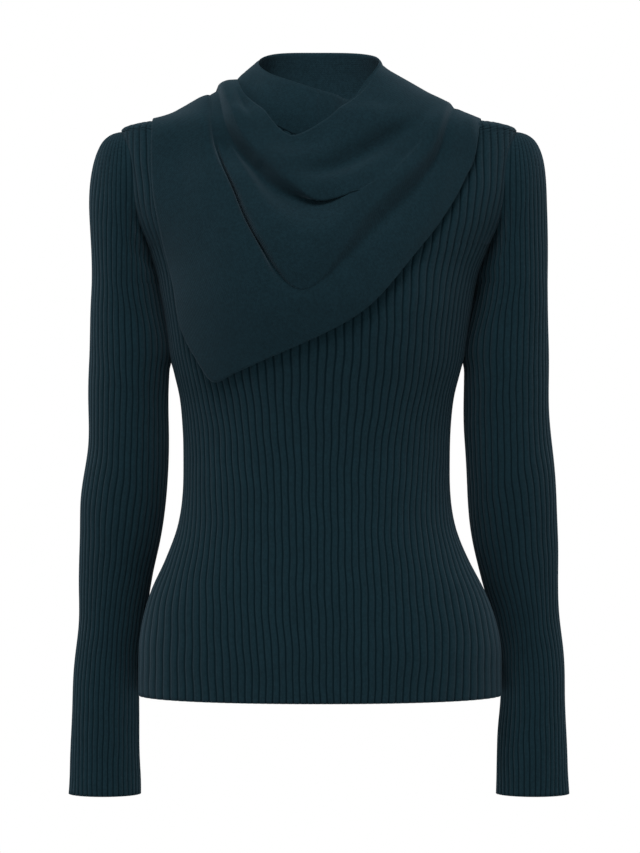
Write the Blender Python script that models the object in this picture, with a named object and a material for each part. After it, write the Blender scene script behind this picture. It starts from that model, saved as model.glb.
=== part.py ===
"""Fine-ribbed wool sweater with a draped scarf collar, filled out as it is worn.

The garment faces -Y and hangs along Z. The origin lies between the shoulders, at the height of
the neck points. All sizes below are in millimetres and are turned into metres in add_piece.
The side and shoulder seams lie in the plane y = 0.
"""
import math

import bmesh
import bpy
import numpy as np

MM = 0.001

WALL = 1.6
RIB_RISE = 0.9
SCARF_WALL = 1.4
COLLAR_WALL = 1.8
SEAM_GAP = 0.3
SLEEVE_SET_OUT = 0.4

PANEL_RIBS = 54
SLEEVE_RIBS = 40
SLEEVE_LINING_COLUMNS = 20

HEM = -566.0
UNDERARM = -150.0
SHOULDER_POINT = -43.0
NECK_POINT = -9.0
NECK_DROP = {"front": 46.0, "back": 9.0}
ARMHOLE_DEPTH = {"front": 42.0, "back": 50.0}
SCARF_CLEARANCE = 3.4

# Body: height, half width, depth in front, depth behind, squareness, sway to the wearer's left
BODY_ROWS = [
    (-566.0, 167.5, 106.0, 108.0, 2.15, 1.2),
    (-530.0, 167.5, 106.0, 111.0, 2.15, 1.2),
    (-500.0, 164.0, 103.0, 110.0, 2.15, 0.3),
    (-470.0, 154.5, 99.0, 104.0, 2.15, -1.0),
    (-440.0, 140.0, 95.0, 95.0, 2.15, -1.8),
    (-410.0, 128.6, 92.0, 86.0, 2.15, -2.2),
    (-380.0, 123.8, 90.0, 80.0, 2.2, -2.3),
    (-350.0, 123.0, 90.0, 77.0, 2.2, -2.3),
    (-320.0, 123.6, 93.0, 78.0, 2.2, -2.3),
    (-290.0, 126.6, 99.0, 83.0, 2.2, -2.1),
    (-260.0, 133.6, 108.0, 89.0, 2.2, -1.9),
    (-230.0, 137.6, 116.0, 95.0, 2.25, -1.9),
    (-200.0, 142.0, 120.0, 100.0, 2.3, -1.9),
    (-170.0, 148.4, 117.0, 103.0, 2.3, -1.2),
    (-150.0, 157.0, 112.0, 104.0, 2.35, 0.0),
    (-125.0, 172.0, 102.0, 103.0, 2.4, 0.0),
    (-97.0, 181.0, 90.0, 100.0, 2.5, 0.0),
    (-70.0, 184.0, 78.0, 94.0, 2.5, 0.0),
    (-43.0, 183.0, 66.0, 84.0, 2.4, 0.0),
    (-37.2, 172.0, 64.0, 81.0, 2.3, 0.0),
    (-35.0, 159.0, 62.0, 79.0, 2.2, 0.0),
    (-33.9, 140.0, 60.0, 76.0, 2.2, 0.0),
    (-30.0, 121.0, 58.0, 73.0, 2.2, 0.0),
    (-20.0, 90.0, 55.0, 67.0, 2.2, 0.0),
    (-9.0, 68.0, 53.0, 62.0, 2.2, 0.0),
]

# Sleeves: height, inner and outer edge of the wearer's right and left sleeve, middle, half depth
SLEEVE_ROWS = [
    (-185.0, 150.8, 211.5, 148.6, 211.5, 4.0, 47.0),
    (-257.0, 139.7, 213.0, 136.2, 213.2, 6.0, 46.0),
    (-330.0, 141.6, 215.2, 137.0, 216.2, 10.0, 44.0),
    (-385.0, 143.8, 221.5, 139.2, 220.8, 15.0, 42.5),
    (-422.0, 149.0, 222.8, 144.6, 222.8, 20.0, 40.0),
    (-460.0, 156.8, 224.0, 153.6, 224.0, 25.0, 37.5),
    (-497.0, 164.2, 225.6, 164.6, 225.6, 29.0, 35.5),
    (-534.0, 169.0, 228.4, 170.6, 228.4, 31.0, 34.0),
    (-571.0, 169.4, 230.0, 171.0, 230.0, 29.0, 32.5),
    (-608.0, 168.8, 231.6, 168.8, 231.6, 25.0, 31.5),
    (-660.0, 167.4, 233.4, 166.4, 233.4, 18.0, 30.5),
]
SLEEVE_HEAD_SHARE = 0.24
ARMHOLE_CORNERS = [0, 22, 46, 75, 106, 138, 180]
SEAM_FLAT_SHARE = 0.1

# Bed of the scarf over the shoulders: height, half width, depth in front, depth behind, squareness
SCARF_BED_ROWS = [
    (-46.0, 188.0, 78.0, 94.0, 2.45),
    (-40.5, 176.0, 77.0, 93.0, 2.45),
    (-35.8, 161.0, 76.0, 92.0, 2.4),
    (-33.2, 150.0, 75.0, 90.0, 2.4),
    (-30.0, 140.0, 73.0, 88.0, 2.4),
    (-23.5, 127.0, 70.0, 85.0, 2.4),
    (-16.5, 114.0, 67.0, 82.0, 2.4),
    (-9.7, 101.0, 64.0, 79.0, 2.35),
    (-2.6, 88.0, 62.0, 77.0, 2.3),
    (5.0, 75.0, 61.0, 75.0, 2.3),
    (14.0, 62.0, 59.0, 72.0, 2.3),
    (23.0, 55.0, 55.0, 68.0, 2.2),
    (32.0, 50.0, 50.0, 62.0, 2.2),
    (38.0, 36.0, 36.0, 45.0, 2.2),
    (40.0, 4.0, 4.0, 5.0, 2.2),
]

# Scarf folds, from the neck out. Each row is station, x, height, lift off the bed. Stations 0 to 7
# run across the front, from the wearer's right shoulder ridge to the left one.
SCARF_FOLDS = {
    "neck_edge": [(0, -77.5, 3.8, 0.8), (1, -69, -18, 3), (2, -51, -34, 7), (3, -34, -52, 11),
                  (4, -19, -55, 13), (5, 9, -39, 11), (6, 36, -17, 6), (7, 62.5, 14, 1)],
    "roll_1": [(0, -83.5, 0.3, 3.4), (1, -76, -33, 9), (2, -60, -56, 14), (3, -37, -79, 19),
               (4, -6, -88, 20), (5, 34, -62, 16), (6, 62, -36, 9), (7, 82, 1, 2.5)],
    "lip_1": [(0, -92, -5, 3), (1, -81, -45, 8.5), (2, -62, -76, 13), (3, -28, -108, 15),
              (4, 8, -117, 13), (4.4, 30, -108, 14), (5, 52, -91, 13.5), (6, 81, -56, 8.5), (7, 101, -10, 2.3)],
    "valley_1": [(0, -95, -6.5, 0.8), (1, -84.5, -44, 2), (2, -65, -73, 2.5), (3, -31, -104, 3.5),
                 (4, 10, -117, 8.5), (4.4, 33, -112, 14), (5, 56, -97, 13.5), (6, 87, -61, 9), (7, 108, -13, 2.3)],
    "roll_2": [(0, -97.5, -8, 1.2), (1, -86.5, -56, 4), (2, -68, -94, 10), (3, -41, -132, 14),
               (4, 2, -152, 15), (5, 52, -116, 14), (6, 93, -69, 11), (7, 117, -18, 2.5)],
    "lip_2": [(0, -100, -9, 1.4), (1, -89.5, -66, 4.5), (2, -72, -107, 9), (3, -50, -151, 9),
              (4, -10, -190, 7), (5, 49, -131, 12), (6, 98, -79, 11), (7, 123, -21, 2.3)],
    "valley_2": [(0, -102, -10, 0.5), (1, -93, -61, 1), (2, -76, -101, 1), (3, -53.5, -146, 2),
                 (4, -13, -196, 5.5), (5, 51, -138, 2), (6, 101, -83, 1.5), (7, 126, -23, 1.2)],
    "panel_top": [(0, -106, -12, 2.6), (1, -98, -65, 7), (2, -83, -107, 7), (3, -63, -156, 6.5),
                  (4, -18, -208, 6), (5, 57, -149, 4.5), (6, 106, -91, 4.5), (7, 130, -25, 2.2)],
    "panel_middle": [(0, -128, -24, 2.6), (1, -124, -80, 3), (2, -115, -150, 4), (3, -82, -226, 4.5),
                     (4, -12, -226, 4), (5, 67, -167, 4), (6, 112, -104, 4), (7, 139, -30, 2.8)],
    "outer_edge": [(0, -151.5, -34, 3), (0.6, -152, -76, 2.4), (1, -150, -106, 1.8),
                   (1.5, -141.5, -149, 1.6), (2, -132.5, -185, 1.8), (2.6, -121, -236, 2.2),
                   (2.85, -107, -260, 2.6), (3, -95, -278, 2.8), (3.15, -81, -271, 2.6),
                   (3.4, -51, -257.5, 2.2), (3.7, -24, -246, 1.9), (4, 1, -235, 1.8),
                   (4.6, 38, -214, 1.8), (5, 56, -198, 1.8), (5.5, 87, -160, 1.8),
                   (6, 109, -132, 1.8), (6.5, 132, -92, 2.4), (6.8, 144, -58, 2.8), (7, 150, -34, 3)],
}
# Behind the neck the same folds run on: share of the way from neck edge to outer edge, and lift.
# The neck edge itself is sewn to the collar there, by its own lifts below.
BACK_FOLDS = {
    "neck_edge": (0.0, 0.0), "roll_1": (0.12, 5.5), "lip_1": (0.3, 5.0), "valley_1": (0.34, 2.0),
    "roll_2": (0.46, 5.5), "lip_2": (0.62, 5.0), "valley_2": (0.66, 1.8), "panel_top": (0.73, 4.0),
    "panel_middle": (0.86, 3.5), "outer_edge": (1.0, 1.8),
}
# Behind: station, neck edge x, height and lift, outer edge x and height
BACK_STATIONS = [
    (8, 61.0, 11.0, -1.0, 139.0, -66.0),
    (9, 34.0, 10.0, -7.5, 92.0, -100.0),
    (10, 0.0, 9.0, -10.5, 0.0, -114.0),
    (11, -38.0, 8.0, -7.5, -94.0, -100.0),
    (12, -73.0, 4.6, -0.5, -140.0, -66.0),
]
SCARF_STATIONS = 13
# Stations between columns: closer where the cloth bends over the shoulders
SCARF_COLUMNS = [(0, 1, 8), (1, 3, 6), (3, 6, 9), (6, 7, 7), (7, 8, 5), (8, 12, 8), (12, 13, 5)]
SCARF_PROFILE = [0, 0.5, 1, 1.5, 2, 2.5, 3, 3.5, 4, 4.5, 5, 5.5, 6, 6.5, 7, 7.5, 8, 8.5, 9]

# Collar: turn from the front towards the wearer's left in degrees, height and reach of its rim
# from the axis, bulge of its wall
COLLAR_RIM = [
    (0, -8.0, 46.0, 2.5), (18, -12.0, 47.0, 2.5), (38, -16.0, 47.0, 2.5), (62, 3.0, 50.0, 2.5),
    (90, 22.0, 57.0, 2.5), (110, 29.0, 58.6, 2.5), (135, 34.5, 59.0, 2.5), (180, 37.5, 58.0, 2.5),
    (225, 34.5, 60.0, 3.0), (250, 28.0, 58.5, 8.0), (270, 21.0, 57.3, 13.0), (300, 9.0, 53.0, 9.0),
    (330, 0.0, 48.0, 4.0), (360, -8.0, 46.0, 2.5),
]
COLLAR_COLUMNS = 32
COLLAR_PROFILE = [0.0, 0.3, 0.65, 1.0]
COLLAR_SET_IN = 1.7

RIB_KNIT = {"color": (0.0080, 0.0176, 0.0232, 1.0), "roughness": 0.92}
PLAIN_KNIT = {"color": (0.0090, 0.0193, 0.0258, 1.0), "roughness": 0.95}


class Curve:
    """Smooth curve through a short table: its first column is the key, the rest the values."""

    def __init__(self, rows, period=None, level=False):
        table = np.array(rows, float)
        if period:
            table = np.vstack([table[-2:], table, table[:2]])
            table[:2, 0] -= period
            table[-2:, 0] += period
        self.keys, self.values = table[:, 0], table[:, 1:]
        step = np.diff(self.keys)[:, None]
        rise = np.diff(self.values, axis=0) / step
        slopes = np.empty_like(self.values)
        slopes[0], slopes[-1] = rise[0], rise[-1]
        slopes[1:-1] = (rise[:-1] * step[1:] + rise[1:] * step[:-1]) / (step[1:] + step[:-1])
        if level:
            turning = rise[:-1] * rise[1:] <= 0
            limit = 3 * np.minimum(abs(rise[:-1]), abs(rise[1:]))
            slopes[1:-1] = np.where(turning, 0, np.clip(slopes[1:-1], -limit, limit))
        self.slopes = slopes

    def __call__(self, keys):
        keys = np.clip(np.asarray(keys, float), self.keys[0], self.keys[-1])
        at = np.clip(np.searchsorted(self.keys, keys, side="right") - 1, 0, len(self.keys) - 2)
        step = (self.keys[at + 1] - self.keys[at])[..., None]
        t = (keys - self.keys[at])[..., None] / step
        return ((2 * t**3 - 3 * t**2 + 1) * self.values[at] + (t**3 - 2 * t**2 + t) * step * self.slopes[at]
                + (3 * t**2 - 2 * t**3) * self.values[at + 1] + (t**3 - t**2) * step * self.slopes[at + 1])


body_form = Curve(BODY_ROWS, level=True)
sleeve_form = Curve(SLEEVE_ROWS[::-1], level=True)
QUARTER = np.linspace(0, math.pi / 2, 161)


def quarter_outline(height, side):
    """Quarter of the body's ring at one height, from its middle to the seam, with its length."""
    half, front, back, power, _ = body_form(height)
    depth = front if side == "front" else back
    x = half * np.sin(QUARTER) ** (2 / power)
    y = depth * np.cos(QUARTER) ** (2 / power)
    length = np.concatenate([[0], np.cumsum(np.hypot(np.diff(x), np.diff(y)))])
    return x, y, length


def armhole_depth(height, side):
    """Distance of the armhole seam in front of or behind the side seam's plane."""
    middle, reach = (UNDERARM + SHOULDER_POINT) / 2, (SHOULDER_POINT - UNDERARM) / 2
    rise = np.clip((height - middle) / reach, -1, 1)
    return ARMHOLE_DEPTH[side] * math.sqrt(1 - rise**2)


def shoulder_share(side):
    """For points of the shoulder seam: share of the panel's half width, and height."""
    x, _, length = quarter_outline(SHOULDER_POINT, side)
    heights = np.linspace(SHOULDER_POINT, NECK_POINT, 60)
    shares = np.interp(body_form(heights)[:, 0], x, length) / length[-1]
    shares[0] = 1.0
    return shares, heights


SHOULDERS = {side: shoulder_share(side) for side in ("front", "back")}


def panel_top(share, side):
    """Height of a panel's top edge: the neckline in the middle, then the shoulder seam."""
    shares, heights = SHOULDERS[side]
    neck = shares[-1]
    if share < neck:
        return NECK_POINT - NECK_DROP[side] * (1 - (share / neck) ** 2.6)
    return float(np.interp(share, shares[::-1], heights[::-1]))


def panel_point(side, across, up):
    """Point of a panel: across is -1 to 1 between its seams, up is 0 at the hem,
    1 at the underarm's height and 2 at the neckline and shoulder."""
    share = min(abs(across), 1.0)
    if up <= 1:
        height = HEM + (UNDERARM - HEM) * up
    else:
        height = UNDERARM + (panel_top(share, side) - UNDERARM) * (up - 1)
    shares, heights = SHOULDERS[side]
    reach = 1.0 if height <= SHOULDER_POINT else float(np.interp(height, heights, shares))
    x, y, length = quarter_outline(height, side)
    edge = length[-1]
    if UNDERARM < height < SHOULDER_POINT:
        edge = np.interp(-armhole_depth(height, side), -y, length)
    along = min(share / reach, 1.0) * edge
    forward = -1 if side == "front" else 1
    return (math.copysign(np.interp(along, length, x), across) + body_form(height)[4],
            forward * np.interp(along, length, y), height)


def armhole_corner(degrees, side):
    """Corner of the armhole seam: 0 degrees at the underarm, 180 at the shoulder."""
    angle = math.radians(degrees)
    height = (UNDERARM + SHOULDER_POINT) / 2 - (SHOULDER_POINT - UNDERARM) / 2 * math.cos(angle)
    depth = ARMHOLE_DEPTH[side] * math.sin(angle)
    half, front, back, power, _ = body_form(height)
    x = half * (1 - (depth / (front if side == "front" else back)) ** power) ** (1 / power)
    return x, -depth if side == "front" else depth, height


def armhole_point(turn):
    """Start of a sleeve beside the armhole seam: turn 0 at the underarm, 0.25 in front."""
    side, degrees = ("front", 360 * turn) if turn <= 0.5 else ("back", 360 * (1 - turn))
    corners = np.array([armhole_corner(d, side) for d in ARMHOLE_CORNERS])
    point = np.array([np.interp(degrees, ARMHOLE_CORNERS, corners[:, k]) for k in range(3)])
    return point + (SLEEVE_SET_OUT, 0, 0)


def sleeve_ring(turn, height, hand):
    """Point of a sleeve's ring below the armhole; hand is -1 for the wearer's right."""
    row = sleeve_form(height)
    inner, outer = (row[0], row[1]) if hand < 0 else (row[2], row[3])
    middle, half_depth = row[4], row[5]
    angle = math.tau * turn
    x = (inner + outer) / 2 - (outer - inner) / 2 * math.cos(angle)
    return np.array([x, middle - half_depth * math.sin(angle), height])


def sleeve_point(hand, turn, down):
    """Point of a sleeve: down is 0 at the armhole and 1 at the cuff."""
    head, cuff = SLEEVE_ROWS[0][0], SLEEVE_ROWS[-1][0]
    if down >= SLEEVE_HEAD_SHARE:
        share = (down - SLEEVE_HEAD_SHARE) / (1 - SLEEVE_HEAD_SHARE)
        point = sleeve_ring(turn, head + (cuff - head) * share, hand)
    else:
        t = down / SLEEVE_HEAD_SHARE
        over = (1 - math.cos(math.tau * turn)) / 2
        start, end = armhole_point(turn), sleeve_ring(turn, head, hand)
        leave = np.array([-3.0, 2.0, -35.0]) * (1 - over) + np.array([114.0, 0.0, -5.0]) * over
        arrive = np.array([0.0, 0.0, -35.0 - 165.0 * over])
        point = ((2 * t**3 - 3 * t**2 + 1) * start + (t**3 - 2 * t**2 + t) * leave
                 + (3 * t**2 - 2 * t**3) * end + (t**3 - t**2) * arrive)
    return (hand * point[0], point[1], point[2])


class ScarfBed:
    """The surface that the scarf lies on, addressed by x and by the way w walked forwards
    (or, below zero, backwards) from the ridge of the shoulders."""

    STEP = 1.5
    REACH = 420.0

    def __init__(self):
        low = [(h, a + SCARF_CLEARANCE, f + SCARF_CLEARANCE + 1, b + SCARF_CLEARANCE, p)
               for h, a, f, b, p, _ in BODY_ROWS if -400 < h < -60]
        form = Curve(low + SCARF_BED_ROWS, level=True)
        heights = np.linspace(SCARF_BED_ROWS[-1][0], SCARF_BED_ROWS[0][0], 200)
        widths = form(heights)[:, 0]
        self.x = np.arange(0, 184.0, 2.0)
        self.w = np.arange(-self.REACH, self.REACH + self.STEP, self.STEP)
        self.y = np.empty((len(self.x), len(self.w)))
        self.z = np.empty_like(self.y)
        for i, x in enumerate(self.x):
            ridge = float(np.interp(x, widths, heights))
            z = ridge - (ridge + 380) * np.linspace(0, 1, 260) ** 2
            half, front, back, power = form(z).T
            room = np.maximum(0, 1 - (x / np.maximum(half, x + 1e-6)) ** power) ** (1 / power)
            room[0] = 0
            ways = []
            for depth in (-front, back):
                y = depth * room
                way = np.concatenate([[0], np.cumsum(np.hypot(np.diff(y), np.diff(z)))])
                ways.append((way, y))
            (way_front, y_front), (way_back, y_back) = ways
            way = np.concatenate([-way_back[:0:-1], way_front])
            self.y[i] = np.interp(self.w, way, np.concatenate([y_back[:0:-1], y_front]))
            self.z[i] = np.interp(self.w, way, np.concatenate([z[:0:-1], z]))

    def place(self, x, w):
        """Points of the bed."""
        column = np.clip(abs(x) / 2.0, 0, len(self.x) - 1.001)
        row = np.clip((w + self.REACH) / self.STEP, 0, len(self.w) - 1.001)
        i, j = column.astype(int), row.astype(int)
        s, t = column - i, row - j
        found = [(g[i, j] * (1 - s) + g[i + 1, j] * s) * (1 - t) + (g[i, j + 1] * (1 - s) + g[i + 1, j + 1] * s) * t
                 for g in (self.y, self.z)]
        return np.stack([x, found[0], found[1]], -1)

    def normal(self, x, w, reach=3.0):
        """Outward directions of the bed."""
        across = self.place(x + reach, w) - self.place(x - reach, w)
        down = self.place(x, w + reach) - self.place(x, w - reach)
        out = np.cross(down, across)
        return out / np.linalg.norm(out, axis=-1, keepdims=True)

    def way(self, x, height, side):
        """The way w from the ridge to a height, in front or behind."""
        walk = self.w[self.w >= 0] if side == "front" else self.w[self.w <= 0][::-1]
        z = self.place(np.full(len(walk), float(x)), walk)[:, 2]
        return float(np.interp(-height, -z, walk))


# The scarf's stations run over the chest from ridge to ridge, then behind the neck;
# its folds leave the ridges' own surface over the first of them.
FRONT_STATIONS = 7
RIDGE_STATIONS = 0.6


def scarf_lines(bed):
    """Each fold of the scarf as a closed curve of station to x, way and lift."""
    lines = []
    for name, rows in SCARF_FOLDS.items():
        around = []
        for station, x, height, lift in rows:
            ridge = station in (0, FRONT_STATIONS)
            around.append((station, x, 0.0 if ridge else bed.way(x, height, "front"), lift, height))
        share, lift = BACK_FOLDS[name]
        for station, neck_x, neck_z, neck_lift, outer_x, outer_z in BACK_STATIONS:
            x, z = neck_x + (outer_x - neck_x) * share, neck_z + (outer_z - neck_z) * share
            around.append((station, x, bed.way(x, z, "back"), lift if share else neck_lift, z))
        lines.append(Curve(around, period=SCARF_STATIONS))
    return lines


def scarf_line_at(bed, line, station):
    """x, way and lift of a fold: over the chest it runs smoothly in x and height."""
    x, w, lift, height = line(station)
    share = min(1.0, max(0.0, min(station, FRONT_STATIONS - station) / RIDGE_STATIONS - 0.5))
    if share > 0:
        w += (bed.way(x, height, "front") - w) * share
    return x, w, lift


def scarf_point(bed, lines, station, across):
    """Point of the scarf's outer face: station goes round the neck, across counts the folds."""
    profile = Curve([(k, *scarf_line_at(bed, line, station)) for k, line in enumerate(lines)])
    x, w, lift = profile(across)
    x, w = np.array([x]), np.array([w])
    return (bed.place(x, w) + lift * bed.normal(x, w))[0]


collar_rim = Curve(COLLAR_RIM)


def collar_point(turn, up):
    """Point of the collar: turn in degrees, up is 0 on the neck seam and 1 at the rim."""
    half_turn = turn if turn <= 180 else turn - 360
    side = "front" if abs(half_turn) <= 90 else "back"
    way = half_turn / 90 if side == "front" else math.copysign(2 - abs(half_turn) / 90, half_turn)
    foot = np.array(panel_point(side, way * SHOULDERS[side][0][-1], 2.0))
    foot[:2] *= 1 - (WALL + COLLAR_SET_IN) / np.hypot(foot[0], foot[1])
    height, reach, bulge = collar_rim(turn)
    angle = math.radians(turn)
    rim = np.array([reach * math.sin(angle), -reach * math.cos(angle), height])
    point = foot + (rim - foot) * up
    outward = np.array([math.sin(angle), -math.cos(angle), 0])
    return point + outward * bulge * math.sin(math.pi * up)


def grid_normals(surface, rows, columns, step):
    """Outward directions of a surface of two parameters at a grid of them."""
    out = np.empty((len(rows), len(columns), 3))
    for i, v in enumerate(rows):
        for j, u in enumerate(columns):
            across = np.subtract(surface(u + step[0], v), surface(u - step[0], v))
            along = np.subtract(surface(u, v + step[1]), surface(u, v - step[1]))
            normal = np.cross(across, along)
            out[i, j] = normal / np.linalg.norm(normal)
    return out


def grid_points(surface, rows, columns):
    return np.array([[surface(u, v) for u in columns] for v in rows])


def stitch(first, second, first_keys, second_keys, closed):
    """Triangles between two rows of vertices that differ in number, in step by their keys."""
    if closed:
        first, second = first + first[:1], second + second[:1]
        first_keys, second_keys = [*first_keys, 1.0], [*second_keys, 1.0]
    faces, i, j = [], 0, 0
    while i < len(first) - 1 or j < len(second) - 1:
        next_first = first_keys[i + 1] if i < len(first) - 1 else math.inf
        next_second = second_keys[j + 1] if j < len(second) - 1 else math.inf
        if next_first <= next_second:
            faces.append((first[i], first[i + 1], second[j]))
            i += 1
        else:
            faces.append((first[i], second[j + 1], second[j]))
            j += 1
    return faces


def add_piece(name, outer, inner, outer_keys, inner_keys, closed, finish):
    """Solid between an outer and an inner grid of points with the same number of rows. The keys
    are the places of their columns."""
    rows = len(outer)
    points = np.concatenate([outer.reshape(-1, 3), inner.reshape(-1, 3)]) * MM
    wide, narrow = outer.shape[1], inner.shape[1]
    outer_ids = [[r * wide + c for c in range(wide)] for r in range(rows)]
    inner_ids = [[rows * wide + r * narrow + c for c in range(narrow)] for r in range(rows)]
    faces = []
    for ids in (outer_ids, inner_ids):
        for low, high in zip(ids, ids[1:]):
            count = len(low) if closed else len(low) - 1
            for c in range(count):
                n = (c + 1) % len(low)
                faces.append((low[c], low[n], high[n], high[c]))
    for r in (0, -1):
        faces += stitch(outer_ids[r], inner_ids[r], outer_keys, inner_keys, closed)
    if not closed:
        for c in (0, -1):
            for r in range(rows - 1):
                faces.append((outer_ids[r][c], outer_ids[r + 1][c], inner_ids[r + 1][c], inner_ids[r][c]))
    mesh = bpy.data.meshes.new(name)
    mesh.from_pydata([tuple(p) for p in points], [], faces)
    shape = bmesh.new()
    shape.from_mesh(mesh)
    bmesh.ops.recalc_face_normals(shape, faces=shape.faces)
    if shape.calc_volume(signed=True) < 0:
        bmesh.ops.reverse_faces(shape, faces=shape.faces)
    shape.to_mesh(mesh)
    shape.free()
    mesh.shade_smooth()
    material = bpy.data.materials.new(name + "_cloth")
    material.use_nodes = True
    shader = material.node_tree.nodes["Principled BSDF"]
    shader.inputs["Base Color"].default_value = finish["color"]
    shader.inputs["Roughness"].default_value = finish["roughness"]
    shader.inputs["Metallic"].default_value = 0.0
    mesh.materials.append(material)
    piece = bpy.data.objects.new(name, mesh)
    bpy.context.scene.collection.objects.link(piece)
    return piece


def rib_rise(count):
    """Rise of each outer column: a groove, then a crest, for every rib."""
    return (np.arange(count) % 2)[None, :, None] * RIB_RISE


def add_panel(side):
    heights = [-566.0, -520.0, -490.0, -455.0, -420.0, -375.0, -325.0, -275.0, -225.0, -180.0]
    rows = [(h - HEM) / (UNDERARM - HEM) for h in heights]
    rows += [1 + (1 - math.cos(math.radians(d))) / 2 for d in ARMHOLE_CORNERS]

    def surface(across, up):
        return panel_point(side, across, min(max(up, 0), 2))

    forward = 1 if side == "front" else -1
    neck = SHOULDERS[side][0][-1]
    half = [share * neck for share in (0.4, 0.72, 0.9, 1.0)] + [0.45, 0.6, 0.8, 1.0]
    lining = np.array([-share for share in half[::-1]] + [0.0] + half)
    ribbed = np.linspace(-1, 1, 2 * PANEL_RIBS + 1)
    grids = []
    for columns in (ribbed, lining):
        sample = np.clip(columns, -0.985, 0.985)
        normals = grid_normals(surface, [min(r, 1.97) for r in rows], sample, (0.01, 0.02)) * forward
        points = grid_points(surface, rows, columns)
        if columns is lining:
            points -= normals * WALL
        else:
            flat = np.clip((1 - abs(columns)) / SEAM_FLAT_SHARE, 0, 1)[None, :, None]
            above = (np.array(rows) >= 1)[:, None, None]
            points += normals * rib_rise(len(columns)) * np.where(above, flat, 1)
        if side == "front":
            points[..., 1] = np.minimum(points[..., 1], -SEAM_GAP / 2)
        else:
            points[..., 1] = np.maximum(points[..., 1], SEAM_GAP / 2)
        grids.append(points)
    add_piece("body_" + side, grids[0], grids[1], ribbed, lining, False, RIB_KNIT)


def add_sleeve(name, hand):
    rows = [0.0, 0.05, 0.1, 0.16, 0.24, 0.36, 0.48, 0.58, 0.67, 0.74, 0.8, 0.88, 1.0]

    def surface(turn, down):
        return sleeve_point(hand, turn, min(max(down, 0), 1))

    grids = []
    for count in (2 * SLEEVE_RIBS, SLEEVE_LINING_COLUMNS):
        columns = np.arange(count) / count
        normals = grid_normals(surface, rows, columns, (0.004, 0.01)) * -hand
        points = grid_points(surface, rows, columns)
        if count == SLEEVE_LINING_COLUMNS:
            points -= normals * WALL
            points[0] = grid_points(surface, rows[:1], columns)[0]
            points[0, :, 1] *= 1 - WALL / 46
            points[0, :, 2] += (-96.5 - points[0, :, 2]) * WALL / 53
        else:
            rise = rib_rise(count) * np.array([0.0] + [1.0] * (len(rows) - 1))[:, None, None]
            points += normals * rise
        grids.append(points)
    ribbed, lining = [np.arange(n) / n for n in (2 * SLEEVE_RIBS, SLEEVE_LINING_COLUMNS)]
    add_piece(name, grids[0], grids[1], ribbed, lining, True, RIB_KNIT)


def add_collar():
    turns = np.arange(COLLAR_COLUMNS) * 360 / COLLAR_COLUMNS
    outer = grid_points(collar_point, COLLAR_PROFILE, turns)
    inward = np.stack([-np.sin(np.radians(turns)), np.cos(np.radians(turns)), np.zeros(len(turns))], -1)
    add_piece("collar", outer, outer + inward[None] * COLLAR_WALL, turns / 360, turns / 360, True, PLAIN_KNIT)


def add_scarf():
    bed = ScarfBed()
    lines = scarf_lines(bed)
    runs = [np.linspace(start, end, count, endpoint=False) for start, end, count in SCARF_COLUMNS]
    stations = np.concatenate(runs)

    def surface(station, across):
        return scarf_point(bed, lines, station % SCARF_STATIONS, min(max(across, 0), 9))

    outer = grid_points(surface, SCARF_PROFILE, stations)
    normals = grid_normals(surface, SCARF_PROFILE, stations, (0.06, 0.12))
    keys = stations / SCARF_STATIONS
    add_piece("scarf_drape", outer, outer + normals * SCARF_WALL, keys, keys, True, PLAIN_KNIT)


for old in list(bpy.data.objects):
    bpy.data.objects.remove(old, do_unlink=True)
add_panel("front")
add_panel("back")
add_sleeve("sleeve_right", -1)
add_sleeve("sleeve_left", 1)
add_collar()
add_scarf()
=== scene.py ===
"""Looks of the fine-ribbed wool sweater with a draped scarf collar, in the part's own frame.

The wearer faces -Y. Lengths in the tables are in millimetres.
"""

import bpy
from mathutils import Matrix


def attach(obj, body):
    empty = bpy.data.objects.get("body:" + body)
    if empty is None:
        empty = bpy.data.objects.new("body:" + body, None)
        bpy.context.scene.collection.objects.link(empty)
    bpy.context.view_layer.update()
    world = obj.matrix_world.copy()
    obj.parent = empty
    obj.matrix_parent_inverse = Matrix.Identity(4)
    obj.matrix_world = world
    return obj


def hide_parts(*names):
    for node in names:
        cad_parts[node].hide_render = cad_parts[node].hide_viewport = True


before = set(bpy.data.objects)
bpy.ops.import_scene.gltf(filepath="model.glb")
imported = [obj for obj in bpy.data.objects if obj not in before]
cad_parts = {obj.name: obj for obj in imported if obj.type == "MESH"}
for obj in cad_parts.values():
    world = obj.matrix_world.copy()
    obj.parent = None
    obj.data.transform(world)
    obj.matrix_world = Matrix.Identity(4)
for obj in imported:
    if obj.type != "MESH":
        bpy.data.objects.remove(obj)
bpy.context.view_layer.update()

import math

import bpy
import numpy as np
from mathutils import Vector

# FRONT PANEL
# A rib-knit wool piece from neckline to hem, about 54 ribs wide and narrowed at the waist.
# It is knitted to shape and linked to the back along the sides and shoulders.
MM = 0.001
WALL = 1.6
HEM, UNDERARM, SHOULDER_POINT, NECK_POINT = -566.0, -150.0, -43.0, -9.0
NECK_DROP = {"front": 46.0, "back": 9.0}
ARMHOLE_DEPTH = {"front": 42.0, "back": 50.0}
SIDE_SEAM_GAP = 0.12
PANEL_RIBS = 54
RIB_CREST, RIB_GROOVE = 0.9, -0.35
# One rib: place across it, share of the rise
RIB_SHAPE = [(0.0, 0.0), (0.1, 0.42), (0.2, 0.8), (0.33, 0.97), (0.5, 1.0), (0.67, 0.97), (0.8, 0.8), (0.9, 0.42)]
# Pitch of the ribs in the panel's middle: height, pitch
RIB_PITCH = [(-566, 6.1), (-527, 6.2), (-455, 6.28), (-419, 6.25), (-383, 6.4), (-347, 6.67), (-320, 6.9),
             (-293, 7.3), (-266, 7.7), (-200, 8.0), (-150, 8.1)]

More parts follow.
